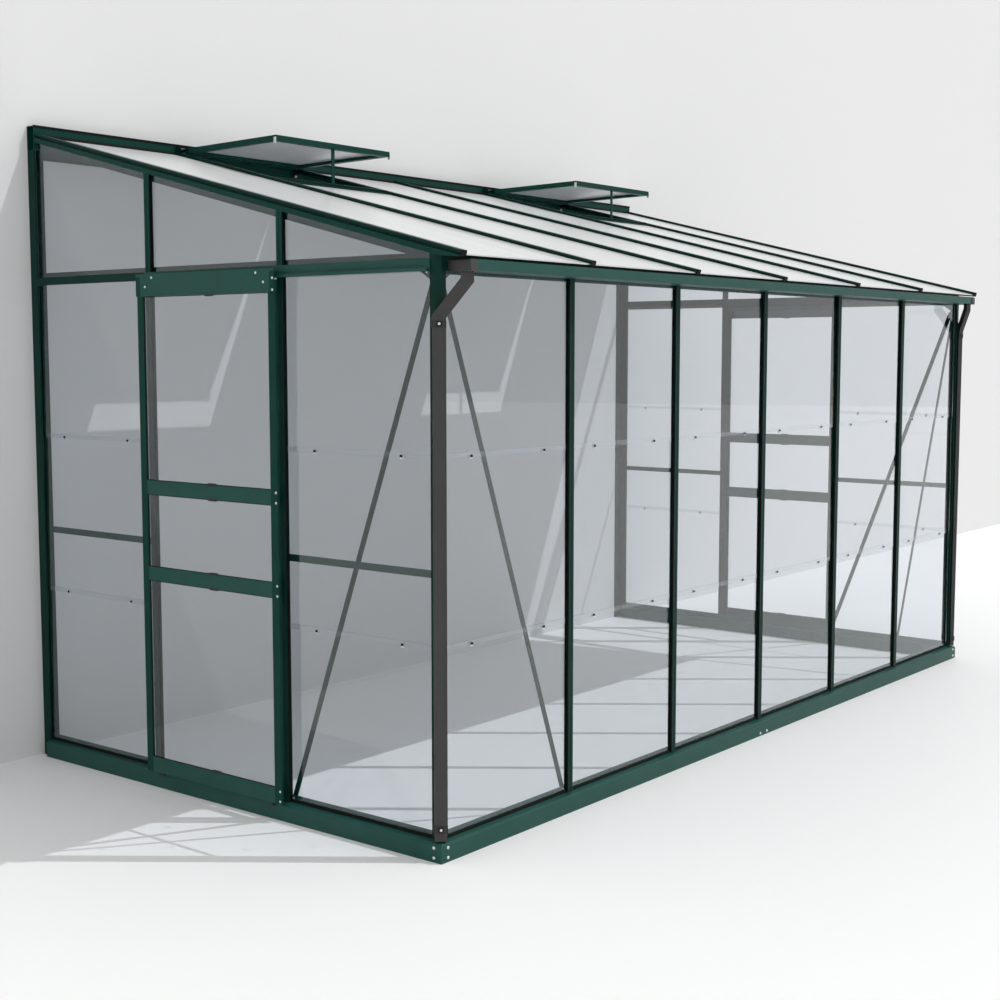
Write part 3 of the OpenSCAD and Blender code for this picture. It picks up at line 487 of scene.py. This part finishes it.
def float_glass(name, cast, lamp, bounce):
    """Float glass: clear and mirror smooth. Lamp light and bounced light go straight through it,
    each with its own small loss, because glass that bends them would leave the room too dark."""
    material, tree, out = new_material(name)
    ray = add(tree, "ShaderNodeLightPath")
    passing = add(tree, "ShaderNodeMath", {
        0: ray.outputs["Is Shadow Ray"], 1: ray.outputs["Is Diffuse Ray"]}, operation="MAXIMUM")
    passed = add(tree, "ShaderNodeMix", {
        "Factor": ray.outputs["Is Shadow Ray"], "A": linear(bounce), "B": linear(lamp)},
        data_type="RGBA")
    clear = add(tree, "ShaderNodeBsdfTransparent", {"Color": passed.outputs["Result"]})
    shader = add(tree, "ShaderNodeBsdfPrincipled", {
        "Base Color": linear(cast), "Roughness": 0.0, "IOR": 1.5, "Transmission Weight": 1.0})
    mixed = add(tree, "ShaderNodeMixShader", {
        "Fac": passing.outputs["Value"], 1: shader.outputs["BSDF"], 2: clear.outputs["BSDF"]})
    tree.links.new(mixed.outputs["Shader"], out.inputs["Surface"])
    return material


glass = float_glass("clear_float_glass", "#f0f3f6", "#fafcfd", "#e9ebed")
finish_nodes(glass, "front_glass", "left_gable_glass", "right_gable_glass", "left_door_glass",
             "right_door_glass")

# Lap clips: small bent strips of stainless steel, two to a lap, that hook over the top edge of the
# lower pane and carry the foot of the pane above. A rubber pad is moulded on the tip of each.
stainless = plated_steel("stainless_strip", "#eceeee", "#cfd2d3")
front_laps, gable_laps = (0.6075, 1.1548), (0.608, 1.156)
clip_inset = 0.135
hook_outline = [(0.0066, -0.0022), (0.0066, 0.0062), (0.0074, 0.0066), (0.0078, 0.006),
                (0.0078, -0.0026), (0.007, -0.0034), (0.0034, -0.0034), (0.0034, -0.0022)]
hook_half = 0.005
pad_outline = [(0.0079, 0.0008), (0.0094, 0.0014), (0.0098, 0.0044), (0.0092, 0.0078),
               (0.0079, 0.0084)]
pad_half = 0.0044
hooks, pads = bmesh.new(), bmesh.new()
lap_parts = ((hooks, hook_outline, hook_half), (pads, pad_outline, pad_half))
for left, right in zip(bar_xs, bar_xs[1:]):
    for x in (left + clip_inset, right - clip_inset):
        for z in front_laps:
            for bm, outline, half in lap_parts:
                extruded(bm, outline, front_spot(x - half, 0, z), front_spot(x + half, 0, z),
                         front, up)
for side in both_sides:
    for v in (clip_inset, bay - clip_inset, 2 * bay + clip_inset, 3 * bay - clip_inset):
        for z in gable_laps:
            for bm, outline, half in lap_parts:
                extruded(bm, outline, gable_spot(side, v - half, 0, z),
                         gable_spot(side, v + half, 0, z), Vector((side, 0, 0)), up)
piece("lap_clips", hooks, stainless)
piece("lap_clip_pads", pads, rubber)

# Roof sheets: twin-wall polycarbonate, milky, with flutes 10.5 mm apart that run down the slope. It
# scatters the light that passes, so the room below lies in soft shade, and mirrors at a low angle.


def twin_wall(name, light, dark, through):
    """Milky twin-wall sheet: a ribbed, glossy skin with long streaks, which lets a little light by.
    A wave's bands are pi / (10 x its scale) apart."""
    material, tree, out = new_material(name)
    spot = add(tree, "ShaderNodeTexCoord").outputs["Object"]
    flute_gap = 0.0105
    flute = add(tree, "ShaderNodeTexWave", {"Vector": spot, "Scale": math.pi / (10 * flute_gap)},
                bands_direction="X")
    drawn = add(tree, "ShaderNodeMapping", {"Vector": spot, "Scale": (1.0, 0.06, 0.06)})
    streak = add(tree, "ShaderNodeTexNoise", {
        "Vector": drawn.outputs["Vector"], "Scale": 1 / 0.04, "Detail": 3.0})
    shade = add(tree, "ShaderNodeMix", {
        "Factor": streak.outputs["Fac"], "A": linear(dark), "B": linear(light)}, data_type="RGBA")
    ribbed = add(tree, "ShaderNodeMapRange", {
        "Value": flute.outputs["Fac"], "To Min": 0.9, "To Max": 1.0})
    tone = add(tree, "ShaderNodeMix", {
        "Factor": 1.0, "A": shade.outputs["Result"], "B": ribbed.outputs["Result"]},
        data_type="RGBA", blend_type="MULTIPLY")
    bump = add(tree, "ShaderNodeBump", {
        "Height": flute.outputs["Fac"], "Strength": 0.1, "Distance": 0.0005})
    skin = add(tree, "ShaderNodeBsdfPrincipled", {
        "Base Color": tone.outputs["Result"], "Roughness": 0.22, "Normal": bump.outputs["Normal"],
        "IOR": 1.58})
    glow = add(tree, "ShaderNodeBsdfTranslucent", {"Color": tone.outputs["Result"]})
    mixed = add(tree, "ShaderNodeMixShader", {
        "Fac": through, 1: skin.outputs["BSDF"], 2: glow.outputs["BSDF"]})
    tree.links.new(mixed.outputs["Shader"], out.inputs["Surface"])
    return material


milky = twin_wall("milky_twin_wall_polycarbonate", "#ebeded", "#dbdddd", 0.03)
finish_nodes(milky, "roof_sheets")

# Vents: two frames of hollow bars with a sheet each, hinged below the ridge and propped open. Small
# plates with steel pins hold them to the ridge bar, and a nylon key closes each lower corner.
# Painted shade: the vent frames take the less dark copy of the green coat, and the sills take the
# darkest, for the shade under the open vents.
finish_nodes(painted_soft_shade_coat, "vent_end_rails", "vent_side_bars", "vent_props")
finish_nodes(painted_shade_coat, "vent_sills")
finish_nodes(milky, "vent_sheets")
vent_xs = (-1.5 * bay, 1.5 * bay)
vent_half = 0.3015
hinge_v, hinge_z, hinge_beside = 1.805, 2.222, 0.0125
pin_radius, pin_long, pin_edge, pin_in = 0.007, 0.022, 0.0012, 0.004
plate_outline = [(0.004, -0.009), (0.0402, -0.016), (0.0402, 0.016), (0.004, 0.009)]
plate_half = 0.0015
hinges = bmesh.new()
pin = bmesh.new()
bmesh.ops.create_cone(pin, cap_ends=True, segments=16, radius1=pin_radius, radius2=pin_radius,
                      depth=pin_long)
rims = [e for e in pin.edges if e.is_manifold and e.calc_face_angle() > 1.0]
bmesh.ops.bevel(pin, geom=rims, offset=pin_edge, segments=2, profile=0.5, affect="EDGES",
                material=-1)
places = []
for x in vent_xs:
    for side in both_sides:
        at = Vector((x + side * (vent_half + hinge_beside), y_front + hinge_v, hinge_z))
        places.append(facing(at + backward * pin_in, (1, 0, 0)))
        extruded(hinges, plate_outline, at - along_x * plate_half, at + along_x * plate_half,
                 backward, up)
# Painted shade: the hinge plates take the darkest copy of the green coat.
piece("vent_hinge_plates", hinges, painted_shade_coat)
piece("vent_hinge_pins", stamp(pin, places), dark_steel)

key_v, key_z, key_gap, key_thick = 1.307, 2.2193, 0.0003, 0.0022
key_outline = [(-0.0002, -0.0105), (0.011, -0.0105), (0.011, 0.0098), (0.009, 0.0112),
               (-0.0002, 0.0112)]
keys = bmesh.new()
for x in vent_xs:
    for side in both_sides:
        corner = Vector((x + side * (vent_half + key_gap), y_front + key_v, key_z))
        extruded(keys, key_outline, corner, corner + along_x * side * key_thick, backward, up)
grey_nylon = moulded_plastic("pale_grey_nylon", "#c9cccc", "#b9bcbc", 0.5)
piece("vent_corner_keys", keys, grey_nylon)

# Roof bar brackets: small plates of dark steel on the face of the ridge bar, one under the head of
# each roof bar, with their upper corners cut. A zinc plated bolt fixes each plate.
bracket_half, bracket_foot, bracket_top = 0.018, 2.1645, 2.1935
bracket_cut, bracket_thick, bracket_gap = 0.005, 0.0026, 0.0001
bracket_outline = [(-bracket_half, bracket_foot), (bracket_half, bracket_foot),
                   (bracket_half, bracket_top - bracket_cut),
                   (bracket_half - bracket_cut, bracket_top),
                   (bracket_cut - bracket_half, bracket_top),
                   (-bracket_half, bracket_top - bracket_cut)]
bracket_bolt, bracket_bolt_z = screw_head(0.0056, 0.005), 2.182
brackets = bmesh.new()
places = []
for x in bar_xs[1:-1]:
    start = Vector((x, y_front + ridge_front - bracket_gap, 0))
    extruded(brackets, bracket_outline, start, start + front * bracket_thick, along_x, up)
    places.append(facing(start + front * bracket_thick + up * bracket_bolt_z, front))
piece("roof_bar_brackets", brackets, dark_steel)
piece("roof_bar_bolts", stamp(bracket_bolt, places), zinc)

# Doors: each leaf hangs on two nylon rollers from a track over the doorway and slides to the front.
# Its rails are screwed to the stiles, thin plates lie on the stiles' heads, and rubber beads and
# small black clips keep the panes in their grooves.
finish_nodes(green_coat, "left_door_track", "right_door_track", "left_door_rails",
             "right_door_rails")
# Painted shade: the stiles and their head plates take the less dark copy of the green coat.
finish_nodes(painted_soft_shade_coat, "left_door_stiles", "right_door_stiles")
nylon = moulded_plastic("black_nylon", "#1c1e1e", "#151717", 0.45)
finish_nodes(nylon, "left_door_rollers", "right_door_rollers")
leaf_out, header_out = 0.0485, 0.0527
header_screws = [(0.684, 1.6965), (1.176, 1.6965), (0.651, 1.6677), (1.209, 1.6677),
                 (0.61, 1.679), (0.61, 1.6435)]
stile_screws = [(0.612, z) for z in (1.0304, 0.9989, 0.7431, 0.7116, 0.0985, 0.067)]
pane_clip_v = 0.905
pane_clip_half = 0.019
pane_clips = [(1.637, -1), (1.038, 1), (0.992, -1), (0.752, 1), (0.706, -1), (0.109, 1)]
pane_clip_outline = [(0.0453, 0), (0.0492, -0.004), (0.0498, 0.001), (0.0486, 0.0052),
                     (0.0453, 0.0058)]
leaf_glass = 0.0453
stile_edges = (0.6352, 1.2248)
door_panes = ((0.1092, 0.7058), (0.7522, 0.9918), (1.0382, 1.6368))
pane_bead = [(0, 0), (0.0024, 0), (0.0024, 0.0012), (0.0012, 0.0026), (0, 0.0026)]
stile_heads = ((0.6052, 0.6235), (1.2365, 1.2548))
head_foot, head_top, head_cut, head_thick = 1.6372, 1.7, 0.004, 0.0008
door_screw_radius, door_screw_high = 0.0042, 0.0026
for side, body in zip(both_sides, ("left_door", "right_door")):
    way = Vector((side, 0, 0))
    heads = bmesh.new()
    for v0, v1 in stile_heads:
        outline = [(v0, head_foot), (v1, head_foot), (v1, head_top - head_cut),
                   (v1 - head_cut, head_top), (v0, head_top)]
        extruded(heads, outline, gable_spot(side, 0, header_out, 0),
                 gable_spot(side, 0, header_out + head_thick, 0), backward, up)
    piece(body + "_stile_heads", heads, painted_soft_shade_coat, body)
    places = []
    for v, z in header_screws:
        on_head = v < stile_heads[0][1]
        places.append(facing(gable_spot(side, v, header_out + on_head * head_thick, z), way))
    places += [facing(gable_spot(side, v, leaf_out, z), way) for v, z in stile_screws]
    door_screw = screw_head(door_screw_radius, door_screw_high)
    piece(body + "_screws", stamp(door_screw, places), zinc, body)
    clips = bmesh.new()
    for z, rise in pane_clips:
        extruded(clips, pane_clip_outline, gable_spot(side, pane_clip_v - pane_clip_half, 0, z),
                 gable_spot(side, pane_clip_v + pane_clip_half, 0, z), way, up * rise)
    piece(body + "_pane_clips", clips, nylon, body)
    seals = bmesh.new()
    for z0, z1 in door_panes:
        for v, inward in ((stile_edges[0], 1), (stile_edges[1], -1)):
            extruded(seals, pane_bead, gable_spot(side, v, leaf_glass, z0),
                     gable_spot(side, v, leaf_glass, z1), backward * inward, way)
        for z, inward in ((z0, 1), (z1, -1)):
            extruded(seals, pane_bead, gable_spot(side, stile_edges[0], leaf_glass, z),
                     gable_spot(side, stile_edges[1], leaf_glass, z), up * inward, way)
    piece(body + "_glazing_seals", seals, rubber, body)

# Studio: a pale floor, a pale wall behind the lean-to that is seen from its front only, soft light
# from all round and one sun. The wall passes very short rays, so that light reaches the backs of
# the pieces that lie on it.


def sheet(name, corners, material):
    """A flat stage sheet from its corners."""
    bm = bmesh.new()
    bm.faces.new([bm.verts.new(c) for c in corners])
    mesh = bpy.data.meshes.new(name)
    bm.to_mesh(mesh)
    bm.free()
    made = bpy.data.objects.new(name, mesh)
    mesh.materials.append(material)
    bpy.context.scene.collection.objects.link(made)


floor_white, tree, out = new_material("studio_floor")
shader = add(tree, "ShaderNodeBsdfPrincipled", {"Base Color": linear("#f4f4f4"), "Roughness": 0.6})
tree.links.new(shader.outputs["BSDF"], out.inputs["Surface"])
floor_half = 40
sheet("studio_floor", [(-floor_half, -floor_half, 0), (floor_half, -floor_half, 0),
                       (floor_half, floor_half, 0), (-floor_half, floor_half, 0)], floor_white)

wall_grey, tree, out = new_material("studio_wall")
wall_gap, short_ray = 0.0006, 0.003
face = add(tree, "ShaderNodeNewGeometry")
paint = add(tree, "ShaderNodeBsdfDiffuse", {"Color": linear("#dedede")})
gone = add(tree, "ShaderNodeBsdfTransparent")
ray = add(tree, "ShaderNodeLightPath")
close = add(tree, "ShaderNodeMath", {
    0: ray.outputs["Ray Length"], 1: short_ray}, operation="LESS_THAN")
unseen = add(tree, "ShaderNodeMath", {
    0: face.outputs["Backfacing"], 1: close.outputs["Value"]}, operation="MAXIMUM")
mixed = add(tree, "ShaderNodeMixShader", {
    "Fac": unseen.outputs["Value"], 1: paint.outputs["BSDF"], 2: gone.outputs["BSDF"]})
tree.links.new(mixed.outputs["Shader"], out.inputs["Surface"])
wall_y = cad_box[1].y + wall_gap
wall_half, wall_high = 30, 20
sheet("studio_wall", [(-wall_half, wall_y, 0), (wall_half, wall_y, 0),
                      (wall_half, wall_y, wall_high), (-wall_half, wall_y, wall_high)], wall_grey)

scene = bpy.context.scene
scene.view_settings.view_transform = "Standard"
world = bpy.data.worlds.new("studio")
scene.world = world
world.use_nodes = True
tree = world.node_tree
tree.nodes.clear()
ray = add(tree, "ShaderNodeLightPath")
looked = add(tree, "ShaderNodeMath", {
    0: ray.outputs["Is Camera Ray"], 1: ray.outputs["Is Transmission Ray"]}, operation="MAXIMUM")
seen = add(tree, "ShaderNodeMath", {
    0: looked.outputs["Value"], 1: ray.outputs["Is Glossy Ray"]}, operation="MAXIMUM")
ambient = add(tree, "ShaderNodeBackground", {"Color": linear("#ffffff"), "Strength": 0.85})
backdrop = add(tree, "ShaderNodeBackground", {"Color": linear("#e8e8e8"), "Strength": 1.0})
mixed = add(tree, "ShaderNodeMixShader", {
    "Fac": seen.outputs["Value"], 1: ambient.outputs["Background"],
    2: backdrop.outputs["Background"]})
add(tree, "ShaderNodeOutputWorld", {"Surface": mixed.outputs["Shader"]})

sun = bpy.data.lights.new("key", "SUN")
sun.energy = 1.35
sun.angle = math.radians(0.35)
sun_from = Vector((0.425, -0.55, 0.905))
sun_object = bpy.data.objects.new("key", sun)
sun_object.rotation_euler = sun_from.to_track_quat("Z", "Y").to_euler()
scene.collection.objects.link(sun_object)

# Camera: stands at eye level off the front left corner, as the photograph was taken. Its place,
# direction and lens were fitted to the lines of the bars.
camera = bpy.data.cameras.new("camera")
camera.sensor_width = 36.0
camera.lens = 54.54
camera_object = bpy.data.objects.new("camera", camera)
camera_object.location = (-5.0846, -3.669, 1.4519)
yaw, tilt = 0.9006, -0.0962
ahead = Vector((math.sin(yaw) * math.cos(tilt), math.cos(yaw) * math.cos(tilt), math.sin(tilt)))
camera_object.rotation_euler = ahead.to_track_quat("-Z", "Y").to_euler()
scene.collection.objects.link(camera_object)
scene.camera = camera_object
